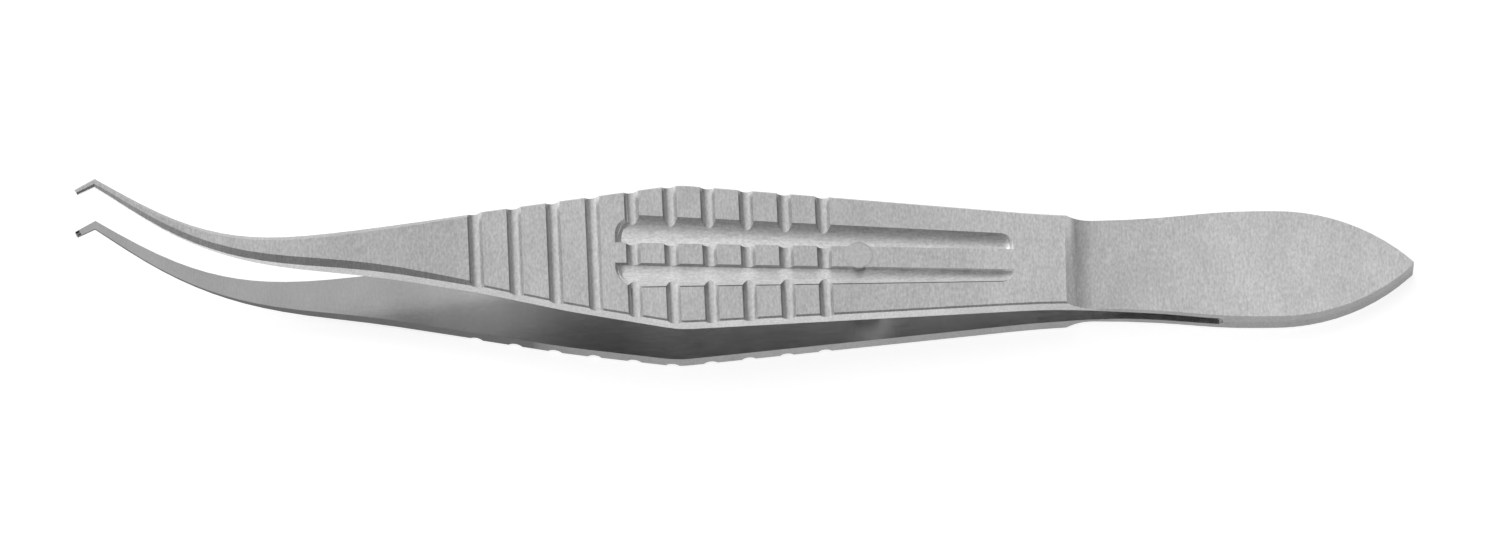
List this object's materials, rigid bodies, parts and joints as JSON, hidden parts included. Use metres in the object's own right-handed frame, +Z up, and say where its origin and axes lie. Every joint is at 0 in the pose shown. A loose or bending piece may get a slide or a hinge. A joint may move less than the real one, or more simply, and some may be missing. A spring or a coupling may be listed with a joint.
{
  "type": "thumb forceps",
  "caption": "Spring thumb forceps with a leaf tail, fluted and cross-grooved handles, slender curved necks and toothed angled tips for gripping fine tissue",
  "frame": {"origin": "centre of the bounding box in plan, on the table that the forceps lies on", "axes": "+X from the tips towards the leaf tail, +Y to the side that the necks curve to, +Z up, across the arms, which close along Z"},
  "size_m": [0.0751, 0.0092, 0.0079],
  "materials": {
    "arm_steel": "satin stainless steel, finely brushed across",
    "pin_steel": "ground stainless steel pin"
  },
  "bodies": {
    "root": {"upper_arm": "arm_steel", "lower_arm": "arm_steel", "guide_pin": "pin_steel"}
  },
  "joints": []
}
